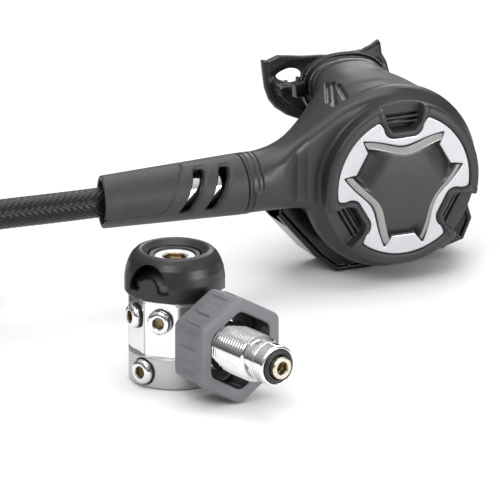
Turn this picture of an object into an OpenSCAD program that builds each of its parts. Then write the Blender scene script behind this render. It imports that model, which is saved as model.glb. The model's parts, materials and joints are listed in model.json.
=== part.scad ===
// Scuba regulator set: DIN first stage, braided hose and second stage.
// Millimetres, +Z up. The origin is the centre of the first stage's flat base.

/* [First stage] */
// Radius of the first stage body
body_r = 21.4; // [20.5:0.1:21.8]
// Height of the DIN inlet axis above the base
din_z = 25.8; // [25.8:0.1:27]
// Direction of the DIN inlet, turned from straight ahead towards the right
din_turn = 13; // [5:1:20]
// Outer radius of the cap at its lower edge
cap_r = 23.1; // [22.8:0.1:24]
// Reach of the hand wheel's rounded corners
wheel_reach = 25.5; // [24.5:0.1:25.5]

/* [Second stage] */
// Place of the cover's face centre, across
cc_x = 153; // [150:1:160]
// Place of the cover's face centre, back
cc_y = 79; // [70:1:85]
// Height of the cover's face centre
cc_z = 50; // [50:0.5:60]
// Outer radius of the cover ring
cover_r = 38.9; // [38.8:0.1:39.5]
// Travel of the purge button
purge_travel = 3.5; // [2.5:0.1:3.5]

/* [Hose] */
// Outer diameter of the braided hose
hose_d = 13.5; // [12.5:0.1:13.5]
// Outer radius of the sleeve at the second stage
sleeve_r1 = 13.9; // [13.6:0.1:14.2]
// Outer radius of the sleeve at its open end
sleeve_r2 = 11.6; // [11.4:0.1:12.2]
// Mean radius of the stored coil
coil_r = 67.5; // [67:0.5:70]

/* [Hidden] */
$fn = 64;

arm_y = 16;
arm_z = 6;
hose_r = hose_d / 2;
coil_c = [-104, 162.5];
port_z = 32.5;
high_port_z = 7.6;
// Low-pressure ports, then the two high-pressure ports; angles are turned from straight ahead towards the right
lp_ports = [-43, -88, 69, 114];
high_ports = [-67, 93];
open_port = 69;

// Route of the hose from the ferrule inside the sleeve to the coil
route = [[48,95,56],[25,95,56],[0,95,56],[-25,95,56],[-52,95,56],[-70,95,54.6],[-87,95,51.6],[-104,95,47.2],
  [-127,99,37.6],[-147,111,28.4],[-162,128,22.2],[-170,148,20.3]];
tail_route = [[-170,148,6.8],[-174,167,7],[-178,186,8.6],[-181.9,203.8,9.3]];

function dir(a) = [sin(a), -cos(a)];
function unit(v) = v / norm(v);
// Closed tube of radius r along points p
module sweep_tube(p, r, n = 10) {
  m = len(p);
  t = [for (i = [0:m-1]) unit(p[min(i+1, m-1)] - p[max(i-1, 0)])];
  pts = [for (i = [0:m-1]) let (
      s = unit(cross([0, 0, 1], t[i])), u = cross(t[i], s))
    for (k = [0:n-1]) p[i] + r * (cos(360*k/n) * s + sin(360*k/n) * u)];
  faces = concat(
    [[for (k = [0:n-1]) k]],
    [for (i = [0:m-2]) for (k = [0:n-1]) [i*n + k, (i+1)*n + k, (i+1)*n + (k+1)%n, i*n + (k+1)%n]],
    [[for (k = [n-1:-1:0]) (m-1)*n + k]]);
  polyhedron(pts, faces, convexity = 10);
}
// Coil spring along +Z: mean radius, wire radius, start and end height of the wire's centre, turns
module spring(rm, rw, z0, z1, turns, steps = 14, n = 6) {
  m = ceil(turns * steps);
  p = [for (i = [0:m]) [rm*cos(360*turns*i/m), rm*sin(360*turns*i/m), z0 + (z1-z0)*i/m]];
  t = [for (i = [0:m]) unit(p[min(i+1, m)] - p[max(i-1, 0)])];
  pts = [for (i = [0:m]) let (s = unit([p[i][0], p[i][1], 0]), u = cross(t[i], s), v = cross(u, t[i]))
    for (k = [0:n-1]) p[i] + rw * (cos(360*k/n) * v + sin(360*k/n) * u)];
  faces = concat(
    [[for (k = [n-1:-1:0]) k]],
    [for (i = [0:m-1]) for (k = [0:n-1]) [i*n + k, i*n + (k+1)%n, (i+1)*n + (k+1)%n, (i+1)*n + k]],
    [[for (k = [0:n-1]) m*n + k]]);
  polyhedron(pts, faces, convexity = 10);
}
module torus(rm, rt) rotate_extrude() translate([rm, 0]) circle(r = rt, $fn = 24);
// Frame of the DIN inlet: +X runs out along it
module din() translate([0, 0, din_z]) rotate([0, 0, din_turn - 90]) children();
// Turned solid about the local X axis from a profile of [radius, x]
module turned_x(p) rotate([0, 90, 0]) rotate_extrude() polygon(p);
module cyl_x(r, x0, x1, f = 64) translate([x0, 0, 0]) rotate([0, 90, 0]) cylinder(r = r, h = x1 - x0, $fn = f);
// Frame of a side port at turn a and height z: +X runs out of it
module port(a, z) translate([0, 0, z]) rotate([0, 0, a - 90]) children();
// Frame of the second stage: face centre, +Y runs into it
module ss() translate([cc_x, cc_y, cc_z]) children();
// Plate in the second stage frame between two depths, drawn as seen from the front
module dep(d0, d1) rotate([90, 0, 0]) translate([0, 0, -d1]) linear_extrude(height = d1 - d0) children();
module arm() ss() translate([0, arm_y, arm_z]) children();

// ---------------- first stage ----------------
module first_stage_body() color([0.75, 0.75, 0.74]) difference() {
  union() {
    rotate_extrude() polygon([[0,0],[body_r-1.6,0],[body_r,1.6],[body_r,41.9],[0,41.9]]);
    din() cyl_x(12.6, 10, 26.5);
  }
  // flats round the ports
  for (a = [-88, 69]) port(a, 0) translate([0, 0, 15]) linear_extrude(30)
    polygon([[19.6, -8.5], [19.6, 8.1186], [7.849, 19.87], [11, 27.8], [28, 28], [28, -8.5]]);
  for (a = high_ports) port(a, high_port_z) cyl_x(6.3, 20.2, 30);
  for (a = lp_ports) port(a, port_z) rotate([11, 0, 0]) cyl_x(4.76, 12.7, 31);
  for (a = high_ports) port(a, high_port_z) { cyl_x(4.76, 12.7, 32); cyl_x(1.5, 3.5, 14); }
  rotate([0, 0, 31]) rotate_extrude() polygon([[0,7],[5.5,7],[5.5,30],[7.5,30],[7.5,35.8],[15.5,35.8],[15.5,45],[0,45]]);
  din() rotate([23, 0, 0]) cyl_x(3.5, 0, 12.5);
  din() rotate([37, 0, 0]) cyl_x(7.0, 12, 33);
}
module balance_diaphragm() color([0.12, 0.12, 0.13]) translate([0, 0, 42]) cylinder(r = 19.4, h = 1.4);
module spring_chamber() color([0.7, 0.7, 0.72]) rotate_extrude() polygon([[13.5,43.5],[20,43.5],[20,50],[14,55.4],
  [11.6,57],[11.6,59.4],[9.86,59.4],[9.86,54.4],[13.5,53]]);
module spring_pad() color([0.75, 0.7, 0.5]) translate([0, 0, 43.5]) rotate_extrude() polygon([[0,0],[12.8,0],[12.8,2],[6.5,2],[5.5,3.4],[0,3.4]]);
module main_spring() color([0.6, 0.6, 0.62]) spring(8.6, 0.9, 46.6, 53.6, 2.4, 18, 8);
module adjuster() color([0.8, 0.8, 0.82]) difference() {
  rotate_extrude() polygon([[0,54.8],[9.8,54.8],[9.8,58.1],[9.2,58.7],[0,58.7]]);
  translate([0, 0, 56]) cylinder(r = 5.77, h = 5, $fn = 6);
}
module window_outline(r, tongue) {
  difference() {
    intersection() { circle(r = r); translate([-20, 0]) square([40, 20]); }
    hull() { translate([0, 0.6]) circle(r = tongue); translate([0, -4]) square([2*tongue + 3, 1], center = true); }
  }
}
module spring_cap() color([0.1, 0.1, 0.1]) difference() {
  rotate_extrude($fn = 96) polygon([[cap_r-0.4,42.2],[cap_r,42.8],[cap_r,49.5],[cap_r-0.5,53.5],[cap_r-1.6,57],[cap_r-3,59.6],
    [cap_r-4.8,61.5],[cap_r-6.6,62.3],[cap_r-7.8,62.1],[12.4,59.6],[12.4,57.3],[14.7,55.9],[20.6,50.3],[20.6,42.2]]);
  rotate([0, 0, -59 - 90]) translate([13, 0, 46]) rotate([90, 0, 90]) linear_extrude(height = 15) window_outline(10.5, 4.6);
  // stepped tab: the lower edge is relieved on the right
  rotate([0, 0, 50 - 90]) translate([20, -9, 40]) cube([6, 18, 4.6]);
}
module inlet_seat() color([0.85, 0.85, 0.8]) difference() {
  translate([0, 0, 30.3]) cylinder(r = 7.4, h = 5.2);
  translate([0, 0, 25]) cylinder(r = 2.2, h = 20);
}
module inlet_poppet() color([0.8, 0.7, 0.4]) rotate_extrude() polygon([[0,12],[1.2,12],[1.2,20],[3.2,20],[3.4,20.6],[3.4,28.6],[2.6,29.9],[0,29.9]]);
module inlet_spring() color([0.6, 0.6, 0.62]) spring(2.6, 0.5, 7.6, 19.4, 4, 12, 6);
module push_pin() color([0.7, 0.7, 0.7]) rotate_extrude() polygon([[0,29.9],[1,29.9],[1,39],[6,40],[6,41.7],[0,41.7]]);
plug_profile = [[0,13],[4.1,13],[4.7,13.6],[4.7,19.7],[4.9,19.7],[4.9,20.75],[5.9,20.75],[5.9,22.2],[5.1,23.3],[0,23.3]];
module one_plug(dx) translate([dx, 0, 0]) difference() {
  turned_x(plug_profile);
  cyl_x(2.9, 20.4, 30, 6);
}
module port_plugs() color([0.85, 0.85, 0.86]) {
  for (a = lp_ports) if (a != open_port) port(a, port_z) one_plug(0);
  for (a = high_ports) port(a, high_port_z) one_plug(0.6);
}
module plug_orings() color([0.05, 0.05, 0.05]) {
  for (a = lp_ports) if (a != open_port) port(a, port_z) translate([20.17, 0, 0]) rotate([0, 90, 0]) torus(5.45, 0.52);
  for (a = high_ports) port(a, high_port_z) translate([20.77, 0, 0]) rotate([0, 90, 0]) torus(5.45, 0.52);
}
module din_retainer() color([0.75, 0.72, 0.62]) din() difference() {
  turned_x([[0,13],[6.4,13],[6.94,13.6],[6.94,70.2],[9.6,70.2],[9.6,78.2],[8.8,79],[8.2,79],[8.2,77.9],[5.4,77.9],[5.4,79],[5.2,79],[5.2,82],[4.7,82.5],[0,82.5]]);
  cyl_x(2.2, 10, 90, 32);
  cyl_x(2.9, 78.6, 90, 6);
}
module din_oring() color([0.04, 0.04, 0.04]) din() translate([79.15, 0, 0]) rotate([0, 90, 0]) torus(6.8, 1.22);
module inlet_filter() color([0.6, 0.5, 0.3]) din() cyl_x(2.15, 73, 76, 32);
module din_stud() color([0.7, 0.7, 0.7]) din() difference() {
  turned_x([[0,28.6],[13.4,28.6],[13.4,37],[11.45,37],[11.45,65.2],[10.6,66],[9.6,66],[9.6,69.9],[0,69.9]]);
  cyl_x(7.0, 20, 90);
}
module wheel_hex(rc, ro) offset(r = ro, $fn = 48) rotate(30) circle(r = rc, $fn = 6);
module din_wheel() color([0.45, 0.46, 0.48]) din() rotate([0, 90, 0]) rotate([0, 0, 90]) difference() {
  translate([0, 0, 28]) linear_extrude(height = 23) rotate(90) rotate(30) wheel_hex(wheel_reach - 5, 5);
  translate([0, 0, 37.1]) linear_extrude(height = 20) rotate(90) rotate(30) wheel_hex(14.6, 4);
  translate([0, 0, 20]) cylinder(r = 13.45, h = 30);
}

// ---------------- second stage ----------------
module oval(rx, ry) { hull() { translate([-(rx-ry), 0]) circle(r = ry, $fn = 40); translate([rx-ry, 0]) circle(r = ry, $fn = 40); } }
// Plate across the collar's axis, at distance a along it, leaning with the mouthpiece
module collar_plate(a, h) translate([0, 62, 31.5]) rotate([-90 - 12, 0, 0]) translate([0, 0, a]) linear_extrude(height = h) children();
module case_outer() {
  // drum with a flared bezel behind the cover
  rotate([-90, 0, 0]) rotate_extrude($fn = 96) polygon([[0,8.1],[39.1,8.1],[43.9,13.6],[44.3,15.2],[43.6,17.2],[38.5,25],[38.5,27],[0,27]]);
  hull() { dep(24, 26.8) circle(r = 38.2, $fn = 32); collar_plate(-6, 5) oval(19.5, 13); }
  collar_plate(-4, 9) oval(18, 11.5);
  translate([0, arm_y, arm_z]) {
    translate([-35.5, 0, 0]) rotate([0, -90, 0]) cylinder(r1 = 17.5, r2 = 14.6, h = 27.4);
  }
}
module exh() translate([0, 40.2, -18.7]) rotate([-123.7, 0, 0]) children();
module second_stage_case() color([0.13, 0.13, 0.13]) ss() difference() {
  case_outer();
  dep(-12, 8.05) circle(r = 39.3, $fn = 96);
  difference() {
    dep(7, 25) circle(r = 35.5, $fn = 96);
    dep(10.6, 13.2) difference() { circle(r = 37, $fn = 96); circle(r = 32.6, $fn = 96); }
  }
  hull() { dep(22, 24.4) circle(r = 34.8, $fn = 32); collar_plate(-6, 1) oval(15.6, 9.1); }
  collar_plate(-8, 20) oval(15, 8.6);
  translate([0, arm_y, arm_z]) { cyl_x(5.26, -70, -30); cyl_x(10.1, -70, -59.9); }
  exh() for (k = [0:5]) rotate([0, 0, 60*k]) translate([6.4, 0, -12]) cylinder(r = 2.4, h = 24, $fn = 24);
  exh() translate([0, 0, -12]) cylinder(r = 1.62, h = 24, $fn = 24);
}
// 2-D outlines of the front
module lobes(g) for (a = [90, 210, 330]) rotate(a) hull() {
  translate([29.5, 0]) square([1, 2*(8.6 + g)], center = true);
  translate([36, 0]) square([4, 2*(12.6 + g)], center = true);
  for (s = [-1, 1]) translate([28.6, s*4.6]) circle(r = 5.2 + g, $fn = 32);
}
module front_opening(g) difference() { circle(r = 34.5 - g, $fn = 96); lobes(g); }
function star_half(k) = [for (j = [0:8]) let (t = -41.5 + 83*j/8, d = 18.6/cos(0), e = pow(abs(t)/41.5, 2),
    r = d + (31 - d) * e) [r*cos(t + k), r*sin(t + k)]];
module star(g) offset(delta = g) polygon(concat(star_half(90), [[25.2*cos(136), 25.2*sin(136)], [25.2*cos(164), 25.2*sin(164)]],
  star_half(210), [[25.2*cos(256), 25.2*sin(256)], [25.2*cos(284), 25.2*sin(284)]],
  star_half(330), [[25.2*cos(16), 25.2*sin(16)], [25.2*cos(44), 25.2*sin(44)]]));
module cover_ring() color([0.12, 0.12, 0.12]) ss() difference() {
  union() {
    dep(1.6, 7.9) circle(r = cover_r, $fn = 96);
    dep(0, 1.7) circle(r = cover_r - 1.3, $fn = 96);
  }
  dep(-1, 9) front_opening(0);
  for (a = [90, 210, 330]) rotate([0, -a, 0]) translate([0, 0, 0]) {
    dep(-1, 4.6) polygon([[28.2,-7],[37,-9.4],[37,9.4],[28.2,7]]);
    for (z = [29.4, 32.6]) dep(-1, 9) translate([z, -5.4]) square([1.6, 10.8]);
  }
}
module trim_ring() color([0.85, 0.86, 0.88]) ss() dep(0.9, 2.9) difference() { front_opening(0.25); star(0.3); }
module purge_button() color([0.1, 0.1, 0.1]) ss() {
  dep(-1.2, 3.0) star(0);
  dep(2.9, 4.2) intersection() { circle(r = 29, $fn = 64); star(1.6); }
  dep(4.1, 9.05) circle(r = 4.8);
}
module purge_spring() color([0.6, 0.6, 0.62]) ss() rotate([-90, 0, 0]) spring(8, 0.4, 4.7, 7.5, 1.4, 18, 6);
module diaphragm_clamp() color([0.3, 0.3, 0.3]) ss() {
  dep(8.1, 9.6) difference() { circle(r = 35.2, $fn = 96); circle(r = 30.5, $fn = 96); }
  dep(8.1, 8.8) { difference() { circle(r = 11.5); circle(r = 6.6); }
    for (a = [30, 150, 270]) rotate(a) translate([11, -1.6]) square([20, 3.2]); }
}
module diaphragm() color([0.35, 0.36, 0.38]) ss() rotate([-90, 0, 0]) rotate_extrude($fn = 96)
  polygon([[14.3,9.7],[28,9.7],[29,10],[30,9.8],[34.8,9.8],[34.8,10.4],[30.6,10.4],[29.6,10.6],[28.4,10.6],[27.4,10.3],[14.3,10.3]]);
module diaphragm_disc() color([0.8, 0.8, 0.82]) ss() dep(9.3, 10) circle(r = 14);
module demand_lever() color([0.75, 0.75, 0.76]) ss() translate([0, 0, arm_z]) {
  translate([-20, 16, 0]) cylinder(r = 1.2, h = 5, center = true, $fn = 32);
  translate([2, 10.7, 0]) cylinder(r = 0.5, h = 6, center = true, $fn = 32);
  rotate([0, 0, 0]) linear_extrude(height = 3, center = true) polygon([[-20,15.5],[2,10.4],[2.1,11],[-20,16.5]]);
}
module valve_barrel() color([0.8, 0.75, 0.6]) arm() difference() {
  turned_x([[0,-74.5],[7,-74.5],[7.5,-74],[7.5,-62.8],[10,-62.8],[10,-60],[5.2,-60],[5.2,-21.8],[0,-21.8]]);
  cyl_x(4.05, -80, -67);
  cyl_x(2.0, -70, -50);
  cyl_x(3.4, -54, -20);
}
module valve_orifice() color([0.85, 0.8, 0.6]) arm() difference() { cyl_x(3.35, -53.9, -50.5); cyl_x(1.4, -60, -40, 32); }
module demand_poppet() color([0.9, 0.9, 0.88]) arm() turned_x([[0,-50.4],[3.0,-50.4],[3.0,-47],[1.1,-47],[1.1,-22.6],[0,-22.6]]);
module demand_spring() color([0.6, 0.6, 0.62]) arm() rotate([0, 90, 0]) spring(2.3, 0.5, -46.3, -30, 4, 12, 6);
module union_ring() color([0.12, 0.12, 0.12]) arm() difference() {
  union() { cyl_x(15.1, -73.2, -67.4, 96); cyl_x(14.7, -67.5, -63.1, 96); }
  cyl_x(10.25, -80, -60);
}
module exhaust_valve() color([0.2, 0.2, 0.22]) ss() exh() {
  translate([0, 0, 0.4]) rotate_extrude() polygon([[0,0],[10.5,0],[10.5,0.5],[4,1.3],[0,1.3]]);
  translate([0, 0, -6]) cylinder(r = 1.55, h = 6.6, $fn = 24);
}
module tee_outline(g) offset(r = 3, $fn = 24) offset(delta = g - 3) polygon([[-50,-14],[-46,-22],[-18,-50],[18,-50],[46,-42],[50,-32],[44,-12],[0,-4]]);
module exhaust_tee() color([0.06, 0.06, 0.06]) ss() difference() {
  dep(30, 57) tee_outline(0);
  dep(32.5, 54.5) tee_outline(-2.4);
  dep(33, 54) { translate([-60, -40]) square([19, 32]); translate([42, -40]) square([20, 32]); }
  hull() { dep(24, 27.4) circle(r = 38.9, $fn = 32); collar_plate(-6, 5) oval(20.2, 13.7); }
  dep(20, 27.3) circle(r = 39, $fn = 64);
  exh() translate([0, 0, -3]) cylinder(r = 13, h = 11);
}
module bite(s) translate([s*24, 86, 27]) {
  rotate([-12, 0, s*(-14)]) difference() {
    hull() { translate([-6, -7, -10]) rotate([-90, 0, 0]) cylinder(r = 3, h = 12, $fn = 24);
      translate([5, -7, 4]) rotate([-90, 0, 0]) cylinder(r = 3, h = 9, $fn = 24);
      translate([-7, -7, 5]) rotate([-90, 0, 0]) cylinder(r = 3, h = 9, $fn = 24); }
    translate([-1, -20, -1]) rotate([-90, 0, 0]) cylinder(r = 3, h = 40, $fn = 24);
  }
}
module mouthpiece() color([0.05, 0.05, 0.05]) ss() difference() {
  union() {
    collar_plate(3.0, 17) oval(20.6, 14);
    collar_plate(17, 5) offset(r = 4, $fn = 24) square([55, 16], center = true);
    collar_plate(20, 15) difference() { offset(r = 4, $fn = 24) square([55, 12], center = true); offset(r = 3, $fn = 24) square([42, 30], center = true); }
  }
  collar_plate(2, 3.2) oval(18.3, 11.8);
  collar_plate(0, 40) oval(15.2, 8.8);
}
module mouthpiece_tie() color([0.05, 0.05, 0.05]) ss() {
  collar_plate(5, 3.6) difference() { oval(22, 15.4); oval(20.65, 14.05); }
  collar_plate(4.4, 4.8) translate([-24.4, 0.5]) square([5.4, 7], center = true);
}

// ---------------- hose ----------------
module slot2d() hull() for (p = [[4.3, 8], [6.3, 8], [-3.9, -7.5], [-1.9, -7.5]]) translate(p) circle(r = 1.6, $fn = 24);
module hose_sleeve() color([0.2, 0.2, 0.2]) arm() difference() {
  turned_x([[sleeve_r2, -144], [sleeve_r1, -73.7], [0, -73.7], [0, -144]]);
  turned_x([[0,-145],[9.2,-145],[9.0,-129],[6.86,-128],[6.86,-122],[10.4,-117],[10.6,-114],[10.6,-70],[0,-70]]);
  for (x = [-87.5, -103.3]) translate([x, 0, 0]) rotate([90, 0, 0]) linear_extrude(height = 60, center = true) slot2d();
}
module swivel_nut() color([0.82, 0.82, 0.84]) arm() difference() {
  union() { cyl_x(9.9, -74, -64.2); cyl_x(10.3, -84, -73.9, 6); }
  cyl_x(7.56, -77, -60);
  cyl_x(4.6, -90, -70);
}
module swivel_stem() color([0.8, 0.8, 0.82]) arm() difference() {
  turned_x([[0,-104.9],[4.5,-104.9],[4.5,-76.7],[7,-76.7],[7,-75],[3.98,-75],[3.98,-71.6],[3.2,-71.6],[3.2,-69.8],[3.98,-69.8],[3.98,-67.6],[0,-67.6]]);
  cyl_x(1.9, -110, -60, 32);
}
module stem_oring() color([0.04, 0.04, 0.04]) arm() translate([-70.7, 0, 0]) rotate([0, 90, 0]) torus(3.62, 0.4);
module stem_ferrule() color([0.82, 0.82, 0.84]) arm() difference() {
  turned_x([[0,-112],[8.9,-112],[9.2,-111.5],[9.2,-91],[8.2,-88],[0,-88]]);
  cyl_x(6.85, -113, -90.5);
  cyl_x(4.55, -120, -80);
}
module hose_tube() color([0.08, 0.08, 0.08]) sweep_tube(route, hose_r, 12);
module hose_coil() color([0.08, 0.08, 0.08]) translate([coil_c[0], coil_c[1], 0]) rotate_extrude($fn = 96)
  translate([coil_r, 0]) translate([-hose_r, 0]) square([hose_d, 2*hose_d]);
module hose_tail() color([0.08, 0.08, 0.08]) sweep_tube(tail_route, hose_r, 12);
// Frame of the free end: +X runs out along the hose
module free_end() translate([-181.9, 203.8, 9.3]) rotate([0, 0, 101.8]) children();
module fitting_ferrule() color([0.82, 0.82, 0.84]) free_end() difference() {
  turned_x([[0,-8],[8.9,-8],[9.2,-7.5],[9.2,13],[8.2,16],[0,16]]);
  cyl_x(6.95, -10, 13.4);
  cyl_x(4.55, -10, 20);
}
module hose_fitting() color([0.82, 0.82, 0.84]) free_end() difference() {
  union() {
    turned_x([[0,0.4],[4.5,0.4],[4.5,17],[7,17],[7,19.5],[0,19.5]]);
    cyl_x(9.2, 19.4, 26, 6);
    turned_x([[0,25.9],[7.4,25.9],[7.4,27],[3.9,27],[3.9,28.6],[4.74,28.6],[4.74,37.4],[4.2,38],[0,38]]);
  }
  cyl_x(2.0, -10, 50, 32);
}
module fitting_oring() color([0.04, 0.04, 0.04]) free_end() translate([27.8, 0, 0]) rotate([0, 90, 0]) torus(4.7, 0.72);

first_stage_body();
spring_cap();
spring_chamber();
main_spring();
spring_pad();
balance_diaphragm();
push_pin();
inlet_poppet();
inlet_seat();
inlet_spring();
port_plugs();
plug_orings();
din_retainer();
din_oring();
inlet_filter();
adjuster();
din_wheel();
din_stud();
second_stage_case();
cover_ring();
trim_ring();
purge_button();
purge_spring();
diaphragm();
diaphragm_disc();
diaphragm_clamp();
demand_lever();
valve_barrel();
demand_poppet();
demand_spring();
valve_orifice();
union_ring();
exhaust_valve();
exhaust_tee();
mouthpiece();
mouthpiece_tie();
hose_sleeve();
swivel_nut();
swivel_stem();
stem_oring();
stem_ferrule();
hose_tube();
hose_coil();
hose_tail();
fitting_ferrule();
hose_fitting();
fitting_oring();
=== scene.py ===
import bpy, math, json
import numpy as np
from mathutils import Vector, Matrix


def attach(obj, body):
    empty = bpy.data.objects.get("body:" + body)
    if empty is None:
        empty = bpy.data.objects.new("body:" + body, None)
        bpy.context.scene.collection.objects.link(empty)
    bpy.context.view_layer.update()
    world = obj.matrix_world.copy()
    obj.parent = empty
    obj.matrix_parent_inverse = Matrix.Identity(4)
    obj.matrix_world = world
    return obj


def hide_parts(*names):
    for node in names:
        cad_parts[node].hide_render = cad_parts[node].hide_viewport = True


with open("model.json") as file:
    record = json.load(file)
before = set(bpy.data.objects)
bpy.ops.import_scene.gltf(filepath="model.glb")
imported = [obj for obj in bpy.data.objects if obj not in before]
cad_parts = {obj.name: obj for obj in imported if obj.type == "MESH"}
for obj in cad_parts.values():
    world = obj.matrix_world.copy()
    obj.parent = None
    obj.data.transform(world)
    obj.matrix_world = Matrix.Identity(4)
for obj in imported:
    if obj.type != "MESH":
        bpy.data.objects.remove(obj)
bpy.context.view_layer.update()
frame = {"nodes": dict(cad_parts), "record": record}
MM = 0.001
sin, cos, rad = math.sin, math.cos, math.radians
C_SS = (153.0, 79.0, 50.0)          # second stage face centre
ARM = (153.0, 95.0, 56.0)           # origin of the arm axis (local x runs along the arm)
DIN_Z, DIN_TURN = 25.8, 13.0

# ------------------------------------------------------------------ camera
AZ, EL = rad(-24), rad(18)
BACK = Vector((sin(AZ) * cos(EL), -cos(AZ) * cos(EL), sin(EL)))
RIGHT = Vector((cos(AZ), sin(AZ), 0))
UP = BACK.cross(RIGHT)
LENS, PX = 800.0, 2.14
dist = 500 * LENS / 36 / PX
cam_d = bpy.data.cameras.new("camera")
cam_d.lens = LENS
cam_d.sensor_width = 36
cam_d.clip_start, cam_d.clip_end = 0.1, 60
cam = bpy.data.objects.new("camera", cam_d)
bpy.context.scene.collection.objects.link(cam)
aim = RIGHT * 34.7 + UP * 58.2 - BACK * 58
cam.location = (aim + BACK * dist) * MM
cam.rotation_mode = "QUATERNION"
cam.rotation_quaternion = (-BACK).to_track_quat("-Z", "Y")
bpy.context.scene.camera = cam

# ------------------------------------------------------------------ node helpers
def new_mat(name):
    m = bpy.data.materials.new(name)
    m.use_nodes = True
    nt = m.node_tree
    return m, nt, nt.nodes["Principled BSDF"]


def noise(nt, coord, scale, detail=3.0, rough=0.5, stretch=None):
    n = nt.nodes.new("ShaderNodeTexNoise")
    n.inputs["Scale"].default_value = scale
    n.inputs["Detail"].default_value = detail
    n.inputs["Roughness"].default_value = rough
    src = coord
    if stretch:
        mp = nt.nodes.new("ShaderNodeMapping")
        mp.inputs["Scale"].default_value = stretch
        nt.links.new(coord, mp.inputs["Vector"])
        src = mp.outputs["Vector"]
    nt.links.new(src, n.inputs["Vector"])
    return n.outputs["Fac"]


def ramp(nt, fac, lo, hi, a=0.3, b=0.7):
    r = nt.nodes.new("ShaderNodeMapRange")
    r.inputs["From Min"].default_value, r.inputs["From Max"].default_value = a, b
    r.inputs["To Min"].default_value, r.inputs["To Max"].default_value = lo, hi
    nt.links.new(fac, r.inputs["Value"])
    return r.outputs["Result"]


def colmix(nt, fac, c0, c1, a=0.3, b=0.7):
    r = nt.nodes.new("ShaderNodeValToRGB")
    r.color_ramp.elements[0].position, r.color_ramp.elements[1].position = a, b
    r.color_ramp.elements[0].color = (*c0, 1)
    r.color_ramp.elements[1].color = (*c1, 1)
    nt.links.new(fac, r.inputs["Fac"])
    return r.outputs["Color"]


def bump(nt, height, strength, dist, normal=None):
    b = nt.nodes.new("ShaderNodeBump")
    b.inputs["Strength"].default_value = strength
    b.inputs["Distance"].default_value = dist
    nt.links.new(height, b.inputs["Height"])
    if normal is not None:
        nt.links.new(normal, b.inputs["Normal"])
    return b.outputs["Normal"]


def coords(nt):
    return nt.nodes.new("ShaderNodeTexCoord").outputs["Object"]


def plastic(name, c0, c1, r0, r1, grain=2600, gs=0.12, gd=0.00012, coat=0.0, coat_r=0.2, spec=0.5, swirl=55):
    """Moulded plastic or rubber: fine spark-eroded grain, soft colour and gloss variation, faint handling marks."""
    m, nt, p = new_mat(name)
    co = coords(nt)
    big = noise(nt, co, swirl, 4, 0.6)
    fine = noise(nt, co, grain, 2, 0.5)
    nt.links.new(colmix(nt, big, c0, c1), p.inputs["Base Color"])
    marks = noise(nt, co, 240, 6, 0.7, (1, 1, 5))
    mx = nt.nodes.new("ShaderNodeMath"); mx.operation = "MULTIPLY"
    nt.links.new(ramp(nt, marks, 0.97, 1.03), mx.inputs[0])
    nt.links.new(ramp(nt, big, r0, r1), mx.inputs[1])
    nt.links.new(mx.outputs[0], p.inputs["Roughness"])
    n1 = bump(nt, fine, gs, gd)
    n2 = bump(nt, big, 0.05, 0.0006, n1)
    nt.links.new(n2, p.inputs["Normal"])
    p.inputs["Specular IOR Level"].default_value = spec
    p.inputs["Coat Weight"].default_value = coat
    p.inputs["Coat Roughness"].default_value = coat_r
    return m


def metal(name, c0, c1, r0, r1, grain=1800, gs=0.05, gd=0.00005, stretch=None, metallic=1.0):
    """Turned or blasted metal: fine scratches or grain, slight tarnish."""
    m, nt, p = new_mat(name)
    co = coords(nt)
    big = noise(nt, co, 70, 4, 0.6)
    fine = noise(nt, co, grain, 3, 0.6, stretch)
    nt.links.new(colmix(nt, big, c0, c1), p.inputs["Base Color"])
    nt.links.new(ramp(nt, fine, r0, r1), p.inputs["Roughness"])
    nt.links.new(bump(nt, fine, gs, gd), p.inputs["Normal"])
    p.inputs["Metallic"].default_value = metallic
    return m


M = {}
M["black_plastic"] = plastic("black_plastic", (0.017, 0.017, 0.0175), (0.025, 0.025, 0.0255), 0.34, 0.44, coat=0.0)
M["ring_plastic"] = plastic("ring_plastic", (0.018, 0.018, 0.0185), (0.026, 0.026, 0.0265), 0.38, 0.50, grain=2200, gs=0.25)
M["black_satin"] = plastic("black_satin", (0.012, 0.012, 0.0125), (0.018, 0.018, 0.0185), 0.27, 0.34, grain=3000, gs=0.05, coat=0.25, coat_r=0.3)
M["gloss_black"] = plastic("gloss_black", (0.003, 0.003, 0.0032), (0.006, 0.006, 0.0062), 0.18, 0.26, grain=1500, gs=0.03, coat=0.1, coat_r=0.12, spec=0.35)
M["black_silicone"] = plastic("black_silicone", (0.012, 0.012, 0.0125), (0.020, 0.020, 0.021), 0.22, 0.32, grain=900, gs=0.06, coat=0.3, coat_r=0.18, swirl=90)
M["sleeve_rubber"] = plastic("sleeve_rubber", (0.024, 0.024, 0.0245), (0.034, 0.034, 0.0345), 0.46, 0.58, grain=2000, gs=0.3, gd=0.00014)
M["grey_rubber"] = plastic("grey_rubber", (0.135, 0.141, 0.152), (0.172, 0.179, 0.192), 0.48, 0.60, grain=1900, gs=0.3, gd=0.00014)
M["black_rubber"] = plastic("black_rubber", (0.010, 0.010, 0.010), (0.018, 0.018, 0.018), 0.35, 0.48, grain=1500, gs=0.1)
M["grey_silicone"] = plastic("grey_silicone", (0.16, 0.165, 0.175), (0.22, 0.225, 0.235), 0.35, 0.45)
M["white_plastic"] = plastic("white_plastic", (0.72, 0.72, 0.69), (0.80, 0.80, 0.77), 0.35, 0.45)
M["satin_chrome"] = metal("satin_chrome", (0.50, 0.50, 0.495), (0.58, 0.58, 0.57), 0.34, 0.46, grain=2600, gs=0.10, gd=0.00007)
M["polished_flat"] = metal("polished_flat", (0.80, 0.80, 0.79), (0.86, 0.86, 0.85), 0.14, 0.22, grain=900, gs=0.02)
M["chrome"] = metal("chrome", (0.78, 0.78, 0.79), (0.86, 0.86, 0.87), 0.06, 0.14, grain=700, gs=0.02, stretch=(1, 1, 6))
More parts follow.
